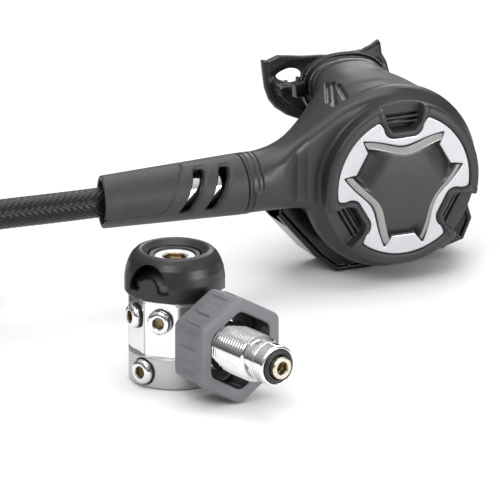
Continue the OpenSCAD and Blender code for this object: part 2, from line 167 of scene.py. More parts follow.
M["spring_steel"] = metal("spring_steel", (0.52, 0.52, 0.53), (0.62, 0.62, 0.63), 0.22, 0.34)
M["brass"] = metal("brass", (0.58, 0.47, 0.25), (0.68, 0.56, 0.32), 0.2, 0.32)
M["nickel"] = metal("nickel", (0.62, 0.57, 0.47), (0.72, 0.66, 0.55), 0.14, 0.24, grain=900, gs=0.03)
M["silver_trim"] = metal("silver_trim", (0.50, 0.505, 0.53), (0.56, 0.565, 0.59), 0.30, 0.38, grain=3200, gs=0.10, gd=0.00005, metallic=0.85)
M["button_satin"] = plastic("button_satin", (0.017, 0.017, 0.0175), (0.023, 0.023, 0.0235), 0.36, 0.43, grain=3000, gs=0.05, coat=0.25, coat_r=0.3)
_nt = M["button_satin"].node_tree
_p = _nt.nodes["Principled BSDF"]
_a = _nt.nodes.new("ShaderNodeAttribute")
_a.attribute_name = "bevel"
_f = ramp(_nt, _a.outputs["Fac"], 1.0, 0.0, 2.65, 2.85)
_mx = _nt.nodes.new("ShaderNodeMix")
_mx.data_type = "RGBA"
_nt.links.new(_f, _mx.inputs[0])
_nt.links.new(_p.inputs["Base Color"].links[0].from_socket, _mx.inputs[6])
_mx.inputs[7].default_value = (0.38, 0.38, 0.37, 1)
_nt.links.new(_mx.outputs[2], _p.inputs["Base Color"])
_nt.links.new(ramp(_nt, _a.outputs["Fac"], 0.75, 0.0, 2.65, 2.85), _p.inputs["Metallic"])
M["cap_plastic"] = plastic("cap_plastic", (0.009, 0.009, 0.0092), (0.014, 0.014, 0.0143), 0.33, 0.42)
M["adjuster_silver"] = metal("adjuster_silver", (0.74, 0.74, 0.73), (0.80, 0.80, 0.79), 0.28, 0.36, grain=1600, gs=0.05, metallic=0.45)
# painted shade: near-black metal for the spring chamber and balance diaphragm, which sit in the shade behind the cap
# window
M["painted_shade_metal"] = metal("painted_shade_metal", (0.07, 0.07, 0.07), (0.11, 0.11, 0.11), 0.30, 0.42, grain=1500, gs=0.05)
# hex recesses: a brass-brown tone, darkened as painted shade in the recess
M["hex_recess_brown_shade"] = metal("hex_recess_brown_shade", (0.20, 0.155, 0.09), (0.30, 0.24, 0.14), 0.30, 0.42, grain=1200, gs=0.05)


def braid_material():
    m, nt, p = new_mat("braid")
    co = coords(nt)
    big = noise(nt, co, 120, 3)
    nt.links.new(colmix(nt, big, (0.003, 0.003, 0.0032), (0.007, 0.007, 0.0073)), p.inputs["Base Color"])
    fil = noise(nt, co, 5200, 2, 0.6, (1, 1, 0.35))
    nt.links.new(ramp(nt, fil, 0.26, 0.42), p.inputs["Roughness"])
    nt.links.new(bump(nt, fil, 0.35, 0.00012), p.inputs["Normal"])
    p.inputs["Specular IOR Level"].default_value = 0.38
    return m


M["braid"] = braid_material()

for sp in frame["record"]["subparts"]:
    o = frame["nodes"][sp["node"]]
    o.data.materials.clear()
    # spring chamber and balance diaphragm get the near-black metal as painted shade inside the cap window
    o.data.materials.append(M["painted_shade_metal" if sp["node"] in ("spring_chamber", "balance_diaphragm") else sp["material_slot"]])


# ------------------------------------------------------------------ implicit surfaces
def smax(a, b, k):
    h = np.clip(0.5 - 0.5 * (b - a) / k, 0, 1)
    return b + (a - b) * h + k * h * (1 - h)


def smin(a, b, k):
    return -smax(-a, -b, k)


def sd_poly(x, z, P):
    """Signed distance to a closed polygon, negative inside."""
    x, z = np.broadcast_arrays(x, z)
    d = np.full(x.shape, 1e18)
    s = np.ones(x.shape)
    n = len(P)
    for i in range(n):
        ax, az = P[i]
        bx, bz = P[i - 1]
        ex, ez = bx - ax, bz - az
        wx, wz = x - ax, z - az
        t = np.clip((wx * ex + wz * ez) / (ex * ex + ez * ez), 0, 1)
        d = np.minimum(d, (wx - ex * t) ** 2 + (wz - ez * t) ** 2)
        c1, c2, c3 = z >= az, z < bz, ex * wz > ez * wx
        flip = (c1 & c2 & c3) | (~c1 & ~c2 & ~c3)
        s = np.where(flip, -s, s)
    return s * np.sqrt(d)


def d_seg(x, z, P):
    """Distance to an open polyline."""
    d = None
    for (ax, az), (bx, bz) in zip(P[:-1], P[1:]):
        ex, ez = bx - ax, bz - az
        t = np.clip(((x - ax) * ex + (z - az) * ez) / (ex * ex + ez * ez), 0, 1)
        q = np.sqrt((x - ax - ex * t) ** 2 + (z - az - ez * t) ** 2)
        d = q if d is None else np.minimum(d, q)
    return d


def surface_nets(f, lo, hi, h):
    lo, hi = np.array(lo, float), np.array(hi, float)
    n = np.ceil((hi - lo) / h).astype(int) + 1
    ax = [lo[i] + h * np.arange(n[i]) for i in range(3)]
    X, Y, Z = ax[0][:, None, None], ax[1][None, :, None], ax[2][None, None, :]
    F = np.broadcast_to(f(X, Y, Z), tuple(n)).astype(np.float32)
    ins = F < 0
    acc = np.zeros((3, n[0] - 1, n[1] - 1, n[2] - 1), np.float32)
    cnt = np.zeros((n[0] - 1, n[1] - 1, n[2] - 1), np.uint8)
    quads = []
    idx_of = None
    crossing = []
    for d in range(3):
        a = [slice(None)] * 3; b = [slice(None)] * 3
        a[d], b[d] = slice(0, -1), slice(1, None)
        A, B = F[tuple(a)], F[tuple(b)]
        m = (A < 0) != (B < 0)
        i, j, k = np.nonzero(m)
        t = A[i, j, k] / (A[i, j, k] - B[i, j, k])
        P = np.stack([i, j, k]).astype(np.float32)
        P[d] += t
        crossing.append((d, i, j, k, P, A[i, j, k] < 0))
        o1, o2 = [(1, 2), (2, 0), (0, 1)][d]
        for s1 in (0, 1):
            for s2 in (0, 1):
                c = [i.copy(), j.copy(), k.copy()]
                c[o1] -= s1; c[o2] -= s2
                ok = (c[o1] >= 0) & (c[o2] >= 0) & (c[o1] < n[o1] - 1) & (c[o2] < n[o2] - 1)
                cc = tuple(q[ok] for q in c)
                for e in range(3):
                    np.add.at(acc[e], cc, P[e][ok])
                np.add.at(cnt, cc, 1)
    used = cnt > 0
    index = np.full(used.shape, -1, np.int64)
    index[used] = np.arange(used.sum())
    V = np.stack([acc[e][used] / cnt[used] for e in range(3)], 1) * h + lo
    for d, i, j, k, P, neg in crossing:
        o1, o2 = [(1, 2), (2, 0), (0, 1)][d]
        c = [i, j, k]
        ok = (c[o1] >= 1) & (c[o2] >= 1) & (c[o1] < n[o1] - 1) & (c[o2] < n[o2] - 1)
        base = [q[ok] for q in c]
        ng = neg[ok]
        q = []
        for s1, s2 in ((1, 1), (0, 1), (0, 0), (1, 0)):
            e = [b.copy() for b in base]
            e[o1] -= s1; e[o2] -= s2
            q.append(index[tuple(e)])
        q = np.stack(q, 1)
        q[~ng] = q[~ng][:, ::-1]
        quads.append(q)
    Q = np.concatenate(quads)
    for it in range(3):     # pull the points onto the surface
        x, y, z = V.T
        e = 0.05 * h
        v = f(x, y, z)
        g = np.stack([f(x + e, y, z) - f(x - e, y, z), f(x, y + e, z) - f(x, y - e, z), f(x, y, z + e) - f(x, y, z - e)], 1) / (2 * e)
        gg = np.maximum((g * g).sum(1), 0.2)
        step = -(v / gg)[:, None] * g
        L = np.linalg.norm(step, axis=1)
        step *= (np.minimum(L, 0.35 * h) / np.maximum(L, 1e-9))[:, None]
        V = V + step
    return V, Q


def make_obj(name, V, faces, mats, body, repl=(), smooth=True):
    me = bpy.data.meshes.new(name)
    V = np.asarray(V, float) * MM
    faces = np.asarray(faces) if not isinstance(faces, list) else faces
    if isinstance(faces, np.ndarray):
        nf, k = faces.shape
        me.vertices.add(len(V)); me.vertices.foreach_set("co", V.astype(np.float32).ravel())
        me.loops.add(nf * k); me.loops.foreach_set("vertex_index", faces.astype(np.int32).ravel())
        me.polygons.add(nf)
        me.polygons.foreach_set("loop_start", np.arange(0, nf * k, k, dtype=np.int32))
        me.polygons.foreach_set("loop_total", np.full(nf, k, np.int32))
    else:
        me.from_pydata([tuple(v) for v in V], [], faces)
    me.update(calc_edges=True)
    me.validate()
    for m in mats if isinstance(mats, list) else [mats]:
        me.materials.append(M[m])
    me.polygons.foreach_set("use_smooth", [smooth] * len(me.polygons))
    o = bpy.data.objects.new(name, me)
    bpy.context.scene.collection.objects.link(o)
    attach(o, body)
    if repl:
        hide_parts(*repl)
    return o


def place_ss(V):
    return V + np.array(C_SS)


def place_arm(V):
    return V + np.array(ARM)


def place_din(V):
    a = rad(DIN_TURN - 90)
    R = np.array([[cos(a), -sin(a), 0], [sin(a), cos(a), 0], [0, 0, 1]])
    return V @ R.T + np.array([0, 0, DIN_Z])


def sdf_obj(name, f, lo, hi, h, mats, body, place, repl=()):
    V, Q = surface_nets(f, lo, hi, h)
    return make_obj(name, place(V), Q, mats, body, repl)


# ------------------------------------------------------------------ outlines of the front
def rot2(x, z, a):
    a = rad(a)
    return x * cos(a) + z * sin(a), -x * sin(a) + z * cos(a)


LOBE = []
for t in np.linspace(90, 270, 13):
    s = -1 if t > 180 else 1
    LOBE.append((28.6 + 5.2 * cos(rad(t)), (4.6 if s > 0 else -4.6) + 5.2 * sin(rad(t))))
LOBE += [(33, -12.9), (39, -15.0), (39, 15.0), (33, 12.9)]
POCKET = [(26.7, -5.2), (29.8, -8.0), (43, -11.3), (43, 11.3), (29.8, 8.0), (26.7, 5.2)]


def lobes2(x, z):
    d = None
    for a in (90, 210, 330):
        u, v = rot2(x, z, a)
        q = sd_poly(u, v, LOBE)
        d = q if d is None else np.minimum(d, q)
    return d


def opening2(x, z, g=0.0):
    return smax(np.sqrt(x * x + z * z) - 34.5, -lobes2(x, z), 1.6) + g


def long_side(k):
    out = []
    for j in range(17):
        t = -41.5 + 83 * j / 16
        r = 18.6 + (31 - 18.6) * (abs(t) / 41.5) ** 2
        out.append((r * cos(rad(t + k)), r * sin(rad(t + k))))
    return out


STAR, LONGS, SHORTS = [], [], []
for k in (90, 210, 330):
    L = long_side(k)
    a1, a2 = k + 46, k + 74
    S = [(25.2 * cos(rad(a1)), 25.2 * sin(rad(a1))), (25.2 * cos(rad(a2)), 25.2 * sin(rad(a2)))]
    STAR += L + S
    LONGS.append(L)
    SHORTS.append(S)


def star2(x, z):
    return sd_poly(x, z, STAR)


# ------------------------------------------------------------------ second stage: front
def f_cover(x, y, z):
    r = np.sqrt(x * x + z * z)
    outer = r - 39.6
    op = opening2(x, z)
    body = smax(smax(outer, -op, 0.7), y - 7.9, 0.5)
    lob = lobes2(x, z)
    front = smax(-y, (r - 36.3) * 0.45 - y - 0.35, 0.6)        # the face falls away towards the rim
    front = np.minimum(front + 0 * lob, smax(front - 0.6, lob + 0.6, 1.0))
    d = smax(body, front, 1.1)
    for a in (90, 210, 330):
        u, v = rot2(x, z, a)
        q = sd_poly(u, v, POCKET) - 0.5 + y * 0.10
        shelf = smax(q, y - 5.8, 0.5)
        well = smax(smax(q, u - 33.4, 0.6), y - 9.5, 0.3)
        d = smax(d, -np.minimum(shelf, well), 0.8)
        for c in (31.7, 29.3):            # slats across the vent
            bar = smax(smax(np.abs(u - c + (y - 5) * 0.55) - 0.6, np.abs(v) - 9.8, 0.2), np.abs(y - 5.3) - 1.25, 0.3)
            d = np.minimum(d, np.maximum(bar, q - 1.2))
    # pull tab on the rim
    ang = np.degrees(np.arctan2(z, x))
    tab = smax(smax(r - 41.4, np.abs(ang + 53) * 0.68 - 5.2, 2.0), np.abs(y - 5.0) - 2.9, 1.0)
    tab = smax(tab, -(r - 37), 0.5)
    d = smin(d, tab, 1.2)
    return d


sdf_obj("cover_ring_shell", f_cover, (-43, -1.6, -43), (43, 9, 43), 0.42, "ring_plastic", "second_stage", place_ss, ["cover_ring"])


def f_trim(x, y, z):
    d = smax(opening2(x, z, 0.28), -(star2(x, z) - 0.32), 0.5)
    return smax(d, np.abs(y - 1.75) - 1.15, 0.6)


sdf_obj("trim_ring_plate", f_trim, (-35.5, 0, -35.5), (35.5, 3.5, 35.5), 0.36, "silver_trim", "second_stage", place_ss, ["trim_ring"])


def f_button(x, y, z):
    st = star2(x, z)
    r2 = x * x + z * z
    dl = np.minimum(np.minimum(d_seg(x, z, LONGS[0]), d_seg(x, z, LONGS[1])), d_seg(x, z, LONGS[2]))
    ds = np.minimum(np.minimum(d_seg(x, z, SHORTS[0]), d_seg(x, z, SHORTS[1])), d_seg(x, z, SHORTS[2]))
    dome = 1.3 + 2.4 * (1 - r2 / 26.0 ** 2)
    t = np.clip((dl - 2.4) / 2.6, 0, 1)
    t = t * t * (3 - 2 * t)
    q = np.clip(1 - ds / 11.5, 0, 1)
    H = dome - 4.6 * q * q * t
    crest = (dl - 2.9) * 0.62 + dome + 0.05
    H = smin(H, crest, 0.5)
    d = smax(smax(st, -(y + H) * 0.9, 0.45), y - 3.0, 0.4)
    fl = np.maximum(np.maximum(st - 1.6, np.sqrt(r2) - 29), np.abs(y - 3.5) - 0.65)
    boss = np.maximum(np.sqrt(r2) - 4.8, np.abs(y - 6.5) - 2.55)
    return np.minimum(np.minimum(d, fl), boss)


ob = sdf_obj("purge_button_cap", f_button, (-33, -5, -33), (33, 9.6, 33), 0.38, "button_satin", "purge", place_ss, ["purge_button"])


def face_data(ob):
    me = ob.data
    n = len(me.polygons)
    nrm = np.zeros(n * 3, np.float32); me.polygons.foreach_get("normal", nrm)
    cen = np.zeros(n * 3, np.float32); me.polygons.foreach_get("center", cen)
    return nrm.reshape(-1, 3).astype(float), cen.reshape(-1, 3).astype(float) / MM


co = np.zeros(len(ob.data.vertices) * 3, np.float32)
ob.data.vertices.foreach_get("co", co)
bx, by, bz = (co.reshape(-1, 3).astype(float) / MM - np.array(C_SS)).T
dl = np.minimum(np.minimum(d_seg(bx, bz, LONGS[0]), d_seg(bx, bz, LONGS[1])), d_seg(bx, bz, LONGS[2]))
att = ob.data.attributes.new("bevel", "FLOAT", "POINT")
att.data.foreach_set("value", np.where(by < 1.0, dl, 9.0).astype(np.float32))


# ------------------------------------------------------------------ second stage: case
def neck(x, y, z):
    ys = np.array([6, 14, 22, 30, 38, 45, 54, 62, 72.0])
    hw = np.interp(y, ys, [35.5, 37, 37.5, 36.5, 33.5, 29.5, 22.5, 18.6, 18.2])
    hh = np.interp(y, ys, [34, 35, 35, 32, 26.5, 21.5, 14.8, 12.0, 11.8])
    cz = np.interp(y, ys, [4, 5, 6.2, 9.5, 15, 20.3, 27.2, 31.4, 30.2])
    n = 2.35
    q = (np.abs(x / hw) ** n + np.abs((z - cz) / hh) ** n) ** (1 / n)
    return (q - 1) * np.minimum(hw, hh) * 0.92


BEZEL = [(0, 8.1), (39.1, 8.1), (43.6, 13.2), (44.5, 15.4), (44.7, 17.6), (43.9, 20), (39.5, 26), (30, 27.5), (0, 27.5)]


def case_body(x, y, z):
    r = np.sqrt(x * x + z * z)
    drum = smax(r - 38.4, y - 29, 7)
    nk = neck(x, y, z)
    nk = smax(nk, 11 - y, 4)
    d = smin(drum, nk, 7)
    rr = np.sqrt((y - 16) ** 2 + (z - 6) ** 2)
    arm = rr - np.interp(x, [-70, -60, -50, -40, -30], [14.3, 14.45, 15.0, 16.0, 17.2])
    arm = smax(arm, x + 20, 3)
    k = 12 + 22 * np.clip((z - 2) / 14, 0, 1)
    return smin(d, arm, k)


def case_skin(x, y, z):
    d = case_body(x, y, z)
    d = smax(d, np.interp(-x, [38, 46, 52, 60, 68], [9.4, 9.0, 7.5, 3.5, 1.0]) - y, 4)
    d = smin(d, sd_poly(np.sqrt(x * x + z * z), y, BEZEL), 0.8)
    return smax(d, -np.maximum(np.sqrt(x * x + z * z) - 40.0, y - 8.1), 0.3)


# grooves beside the neck, as lines in the plane across the direction (-0.387, -0.869, 0.309)
FLUTES = [[(-36.1, 47.2), (-35.8, 39.2)], [(-33.8, 47.6), (-33.1, 37.8)], [(-30.9, 46.6), (-28.0, 41.2)]]


def f_case(x, y, z):
    d = case_skin(x, y, z)
    fu, fv = 0.9135 * x - 0.4067 * y, 0.1257 * x + 0.2823 * y + 0.951 * z
    near = (-0.387 * x - 0.869 * y + 0.309 * z > -26) & (y > 17) & (x < -8)
    for F in FLUTES:
        t = np.clip(1 - d_seg(fu, fv, F) / 1.7, 0, 1)
        d = d + 1.3 * t * t * (3 - 2 * t) * near
    # collar beyond the neck, cut square to its own axis
    w = (y - 62) * 0.978 - (z - 31.5) * 0.208
    end = np.where(z < 5.7, -76.0, -71.8)
    d = smax(d, end - x, 0.4)
    d = smax(d, w - 4.8, 0.8)
    # inside
    v = (z - 31.5) * 0.978 + (y - 62) * 0.208
    cav = smax(case_body(x, y, z) + 3.2, -36.5 - x, 1.5)
    cav = smax(cav, np.sqrt(x * x + z * z) - 35.2 - 60 * np.clip((y - 14) / 12, 0, 1), 1.0)
    d = smax(d, -smax(cav, 6 - y, 0.5), 0.5)
    bore = smax((np.abs(x / 15.0) ** 2.2 + np.abs(v / 8.6) ** 2.2) ** (1 / 2.2) * 8.6 - 8.6, -w - 3, 0.5)
    d = smax(d, -bore, 0.5)
    rr = np.sqrt((y - 16) ** 2 + (z - 6) ** 2)
    d = smax(d, -np.maximum(rr - 5.3, x + 30), 0.3)
    d = smax(d, -np.maximum(rr - 10.45, x + 59.9), 0.3)
    # groove behind the mouthpiece collar
    g = np.abs(w - 1.6) - 0.45
    d = smax(d, -np.maximum(g, -(case_body(x, y, z) + 0.9)), 0.5)
    return d


sdf_obj("second_stage_shell", f_case, (-77.5, -0.5, -46.2), (46.2, 70, 49.5), 0.7, "black_plastic", "second_stage", place_ss, ["second_stage_case"])


def f_union(x, y, z):
    rr = np.sqrt(y * y + z * z)
    d = smax(rr - 14.6, -(x + 79.0), 0.7)
    end = np.where(z < -0.3, -76.25, -72.05)
    d = smax(d, x - end, 0.35)
    for c, t, q in ((-77.3, 0.22, 0.45), (-74.3, 0.22, 0.35)):
        g = np.maximum(np.abs(x - c) - t, -(rr - 14.6 + q))
        d = smax(d, -g, 0.3)
    return smax(d, -(rr - 10.5), 0.4)


sdf_obj("union_ring_shell", f_union, (-80.5, -16, -16), (-71, 16, 16), 0.36, "black_plastic", "second_stage", place_arm, ["union_ring"])

# ------------------------------------------------------------------ exhaust tee
TEE = [(-51.0, -13), (-51.6, -17.0), (-40.9, -29.6), (-30.4, -41.4), (-20.8, -49), (17.6, -49), (45, -41.5), (49.2, -32), (43.4, -12.4), (0, -4), (-30, -10)]


def f_tee(x, y, z):
    o = sd_poly(x, z, TEE) - 0.8
    yc, hy = 43.5, 13.3
    d = smax(o, np.abs(y - yc) - hy, 2.2)
    # raised rim round the front and back panels
    panel = smax(o + 2.6, -(np.abs(y - yc) - (hy - 1.1)), 0.8)
    rib = np.minimum(np.abs(x * 0.80 + z * 0.6 + 34.2) - 0.45, np.abs(x * 0.80 + z * 0.6 + 39.8) - 0.4)
    panel = smax(panel, -rib, 0.5)
    d = smax(d, -panel, 0.6)
    # hollow with outlets in the wing ends
    hol = smax(o + 3.4, np.abs(y - yc) - (hy - 2.9), 1.5)
    d = smax(d, -hol, 0.5)
    ol = smax(smax(np.abs(y - yc) - 9.8, x + 40, 1.0), np.abs(z + 19.0) - 5.5, 1.2)
    orr = smax(smax(np.abs(y - yc) - 9.8, 41 - x, 1.0), np.abs(z + 27.0) - 11.5, 1.2)
    d = smax(d, -np.minimum(ol, orr), 0.7)
    # clear of the case
    cb = case_body(x, y, z)
    return smax(d, -(cb - 0.35), 0.4)


sdf_obj("exhaust_tee_shell", f_tee, (-51.5, 28.5, -51.5), (51.5, 58.5, 2), 0.55, "gloss_black", "second_stage", place_ss, ["exhaust_tee"])


# ------------------------------------------------------------------ mouthpiece
def collar(y, z):
    w = (y - 62) * 0.978 - (z - 31.5) * 0.208
    v = (z - 31.5) * 0.978 + (y - 62) * 0.208
    return w, v


def oval(u, v, a, b, n=2.3):
    return ((np.abs(u / a) ** n + np.abs(v / b) ** n) ** (1 / n) - 1) * b


SHIELD = [(-33.0, 14.3), (-30.5, 14.0), (-25.7, 15.9), (-22.0, 15.6), (-14.5, 14.5), (-5.5, 14.0), (-0.5, 13.3), (4.1, 11.9), (8.8, 13.7),
          (17.2, 13.8), (23.0, 15.4), (27.2, 17.2), (28.3, 15.5), (28.6, 10.4), (31.0, 6.2), (32.3, 1.2), (31.8, -4.6), (29.0, -9.0), (24.0, -12.6),
          (19.5, -14.8), (14.5, -15.7), (0, -14.6), (-14.7, -15.7), (-19.1, -14.8), (-23.8, -12.6), (-28.6, -8.7), (-31.2, -4.6), (-32.6, 1.4),
          (-32.9, 8.6)]


def teardrop(x, v, g):
    """Window outline in the shield, pointed outwards; g grows it."""
    ax = np.abs(x) - 20.6
    h = 3.3 + g
    L = np.where(ax > 0, 6.4 + 1.3 * g, 5.2 + g)
    hv = (v - 6.0) / (h * (1 - 0.30 * np.clip(ax / 6.4, 0, 1)))
    return (np.sqrt((ax / L) ** 2 + hv ** 2) - 1) * h


def f_mouth(x, y, z):
    w, v = collar(y, z)
    a = np.interp(w, [2, 9, 17, 24], [20.2, 19.8, 15.6, 14.6])
    b = np.interp(w, [2, 9, 17, 24], [13.6, 13.0, 10.6, 9.8])
    tube = ((np.abs(x / a) ** 2.3 + np.abs(v / b) ** 2.3) ** (1 / 2.3) - 1) * b
    tube = smax(tube, w - 24, 1.5)
    d = smax(tube, 3.0 - w, 0.8)
    # lip at the back of the tie seat
    lip = smax(oval(x, v, 21.6, 15.0), np.abs(w - 10.6) - 1.1, 1.2)
    d = smin(d, lip, 1.2)
    # curved shield with a notch at the middle
    ws = 20.8 + 0.0062 * x * x
    sh2 = sd_poly(x, v, SHIELD)
    dish = 1.3 * np.clip(-teardrop(x, v, 3.4) / 3.0, 0, 1)
    band = 0.5 * np.clip((sh2 + 5.4) / 0.7, 0, 1) * np.clip((4 - v) / 4, 0, 1)
    front = ws - 1.5 + dish + band
    sh = smax(smax(front - w, w - ws - 1.15, 0.6), sh2, 0.9)
    rim = np.sqrt((w - ws + 0.1) ** 2 + (sh2 + 1.3) ** 2) - 1.5
    sh = smin(sh, rim, 0.9)
    d = smin(d, sh, 3.4)
    # bite tabs
    ax = np.abs(x)
    tab = smax(smax(np.abs(ax - 22.5) - 4.6, np.abs(v + 0.5) - 1.6, 1.2), np.abs(w - 28.0) - 6.2, 1.5)
    tab2 = smax(smax(np.abs(ax - 22.5) - 4.4, np.abs(v + 0.2) - 4.8, 1.4), np.abs(w - 33.2) - 1.3, 1.0)
    d = smin(d, smin(tab, tab2, 1.0), 1.6)
    # bore
    bore = oval(x, v, np.interp(w, [6, 16], [15.2, 12.4]), np.interp(w, [6, 16], [8.7, 7.6]))
    d = smax(d, -smax(bore, -(w + 5), 0.5), 0.7)
    # windows in the shield
    d = smax(d, -smax(teardrop(x, v, 0), 17 - w, 0.5), 0.8)
    return d


sdf_obj("mouthpiece_soft", f_mouth, (-36, 60, 4), (36, 101, 51.5), 0.6, "black_silicone", "second_stage", place_ss, ["mouthpiece"])


def f_tie(x, y, z):
    w, v = collar(y, z)
    o = oval(x, v, 22.3, 15.7)
    i = oval(x, v, 20.75, 14.15)
    teeth = 0.12 * np.sin(np.arctan2(v, x) * 60)
    d = smax(smax(o + teeth * 0.5, -i, 0.4), np.abs(w - 6.8) - 1.75, 0.6)
    hx, hv = x + 23.6, v - 0.5
    head = smax(smax(np.abs(hx) - 2.9, np.abs(hv) - 3.7, 1.2), np.abs(w - 6.8) - 3.0, 1.0)
    head = smax(head, -smax(np.abs(hx + 0.2) - 0.95, np.abs(w - 6.8) - 1.9, 0.3), 0.3)
    tail = smax(smax(np.abs(hx + 0.2) - 0.7, np.abs(hv - 3.9) - 2.3, 0.4), np.abs(w - 6.8) - 1.6, 0.4)
    return np.minimum(smin(d, head, 0.5), tail)


sdf_obj("mouthpiece_tie_band", f_tie, (-28.5, 58, 12), (24, 78, 51), 0.42, "gloss_black", "second_stage", place_ss, ["mouthpiece_tie"])


# ------------------------------------------------------------------ hose sleeve
PANEL = [(-109.6, 13.4), (-111.5, 11.1), (-114.4, 6.8), (-117.4, 2.7), (-119.8, -2.6), (-122.6, -5.6), (-126.5, -6.6), (-135.8, -6.4), (-151, -6.1)]


def f_sleeve(x, y, z):
    rr = np.sqrt(y * y + z * z)
    R = 12.4 + (x + 149) * 2.2 / 70
    d = smax(rr - R, x + 79.3, 0.8)
    d = smax(d, -(x + 149.0 - 0.24 * y) * 0.97, 0.7)
    ins = np.interp(x, [-153, -129, -128, -122, -117, -114, -70], [10.6, 9.6, 6.9, 6.9, 10.3, 10.7, 10.7])
    d = smax(d, -(rr - ins), 0.6)
    for xs, sl in ((-94.6, 0.524), (-107.5, 0.54)):       # slanted windows with a raised lip at the upper edge
        c = (x - (xs + sl * z - 0.006 * z * z)) * 0.9
        s = smax(np.abs(c) - 2.45, np.abs(z - 2.2) - 9.4, 1.7)
        s2 = smax(np.abs(c - 0.2) - 3.6, np.abs(z - 2.4) - 10.9, 2.2)
        front = y < 2
        d = d + 0.55 * np.clip(-s2 / 0.9, 0, 1) * np.clip((R + 1 - rr), 0, 1) * (rr > ins + 1.2)
        d = smax(d, -s, 0.7)
    g = np.clip(1 - d_seg(x, z, PANEL) / 0.7, 0, 1) * (y < 0)
    d = d + 0.75 * g * (rr > R - 2)
    # the panel left of the line lies a little lower
    inside = np.interp(z, [-6.6, -5.6, -2.6, 2.7, 6.8, 11.1, 13.4], [-124, -122.6, -119.8, -117.4, -114.4, -111.5, -109.6]) - x
    low = np.clip(inside / 1.2, 0, 1) * np.clip((z + 6.5) / 1.0, 0, 1) * np.clip((11.5 - z) / 3, 0, 1) * np.clip((x + 146) / 3, 0, 1) * (y < 0)
    return d + 0.3 * low * (rr > R - 2)


sdf_obj("hose_sleeve_shell", f_sleeve, (-153.5, -15.5, -15.5), (-78, 15.5, 15.5), 0.42, "sleeve_rubber", "sleeve", place_arm, ["hose_sleeve"])


# ------------------------------------------------------------------ first stage
def profile(r, z, P, k=0.6):
    return sd_poly(r, z, P)


CAPP = [(22.2, 42.6), (22.9, 43.2), (22.9, 49.5), (22.3, 53.5), (21.1, 57), (19.7, 59.5), (17.9, 61.3), (16.4, 61.9), (15.4, 61.7),
        (12.7, 59.5), (12.7, 57.6), (14.7, 56.2), (20.3, 50.6), (20.3, 42.6)]


def f_cap(x, y, z):
    r = np.sqrt(x * x + y * y)
    d = sd_poly(r, z, CAPP) - 0.35
    # flat apron with the arched window
    a = rad(-59 - 90)
    u = x * cos(a) + y * sin(a)
    t = -x * sin(a) + y * cos(a)
    d = smax(d, u - 21.4, 0.5)
    zz = (z - 45.6) * 0.80
    arch = np.sqrt(t * t + zz ** 2) - 10.9
    arch = smax(arch, 46.2 - z, 0.8)
    tongue = smax(np.sqrt(t * t + np.maximum(z - 47.6, 0) ** 2) - 5.0 - np.clip(47.6 - z, 0, 3) * 0.45, z - 53.2, 0.5)
    arch = smax(arch, -tongue, 0.8)
    d = smax(d, -np.maximum(arch, 12 - u), 0.5)
    # shallow frame line round the window
    fr = np.abs(np.sqrt(t * t + zz ** 2) - 12.7) - 0.3
    d = smax(d, -np.maximum(np.maximum(fr, 15 - u), np.maximum(-(u - 20.9), 46 - z)), 0.4)
    # stepped lower edge with a small tab
    ang = np.degrees(np.arctan2(y, x))
    rel = np.abs((ang - (38 - 90) + 180) % 360 - 180)
    up = np.where((rel > 5) & (rel < 28), 44.4, 42.1)
    return smax(d, up - z, 0.5)


sdf_obj("spring_cap_shell", f_cap, (-24, -24, 41.5), (24, 24, 63), 0.42, "cap_plastic", "first_stage", lambda V: V, ["spring_cap"])

LP, HP = (-43, -88, 69, 114), (-67, 93)


def portframe(x, y, a):
    a = rad(a - 90)
    return x * cos(a) + y * sin(a), -x * sin(a) + y * cos(a)


def f_body(x, y, z):
    r = np.sqrt(x * x + y * y)
    d = smax(smax(r - 21.4, -z, 1.6), z - 41.9, 0.8)
    u, t = portframe(x, y, DIN_TURN)
    rr = np.sqrt(t * t + (z - DIN_Z) ** 2)
    boss = smax(smax(rr - 12.6, u - 26.5, 1.0), 8 - u, 1.0)
    d = smin(d, boss, 2.2)
    for a in LP:
        u, t = portframe(x, y, a)
        cut = smax(np.abs(t) - 9.0, 15 - z, 4.0)
        d = smax(d, -smax(cut, 19.6 - u, 0.4), 0.6)
    for a in HP:
        u, t = portframe(x, y, a)
        rr = np.sqrt(t * t + (z - 7.6) ** 2)
        d = smax(d, -smax(rr - 6.35, 20.2 - u, 0.4), 0.5)
        d = smax(d, -np.maximum(rr - 4.76, 12.7 - u), 0.3)
    for a in LP:
        u, t = portframe(x, y, a)
        rr = np.sqrt(t * t + (z - 32.5) ** 2)
        th = 0.22 * np.cos(2 * np.pi * u / 1.06) if a == 114 else 0.0
        d = smax(d, -np.maximum(rr - 4.70 - th, 12.7 - u), 0.3)
    u, t = portframe(x, y, DIN_TURN)
    rr = np.sqrt(t * t + (z - DIN_Z) ** 2)
    d = smax(d, -np.maximum(rr - 7.0, 12 - u), 0.3)
    d = smax(d, -np.maximum(r - 15.5, 35.8 - z), 0.3)
    d = smax(d, -np.maximum(r - 7.5, 30 - z), 0.3)
    d = smax(d, -np.maximum(np.maximum(r - 5.5, 7 - z), z - 31), 0.3)
    # parting groove under the cap
    d = smax(d, -np.maximum(np.abs(z - 40.9) - 0.3, -(r - 20.9)), 0.3)
    return d


ob = sdf_obj("first_stage_shell", f_body, (-23, -28, -0.6), (23, 23, 42.6), 0.42, ["satin_chrome", "polished_flat"], "first_stage", lambda V: V, ["first_stage_body"])
me = ob.data
nv = len(me.polygons)
nrm = np.zeros(nv * 3, np.float32); me.polygons.foreach_get("normal", nrm); nrm = nrm.reshape(-1, 3)
cen = np.zeros(nv * 3, np.float32); me.polygons.foreach_get("center", cen); cen = cen.reshape(-1, 3) / MM
mi = np.zeros(nv, np.int32)
for a in LP:
    aa = rad(a - 90)
    n = np.array([cos(aa), sin(aa), 0])
    mi[(nrm @ n > 0.985) & (np.abs(cen @ n - 19.6) < 0.35) & (cen[:, 2] > 14)] = 1
me.polygons.foreach_set("material_index", mi)


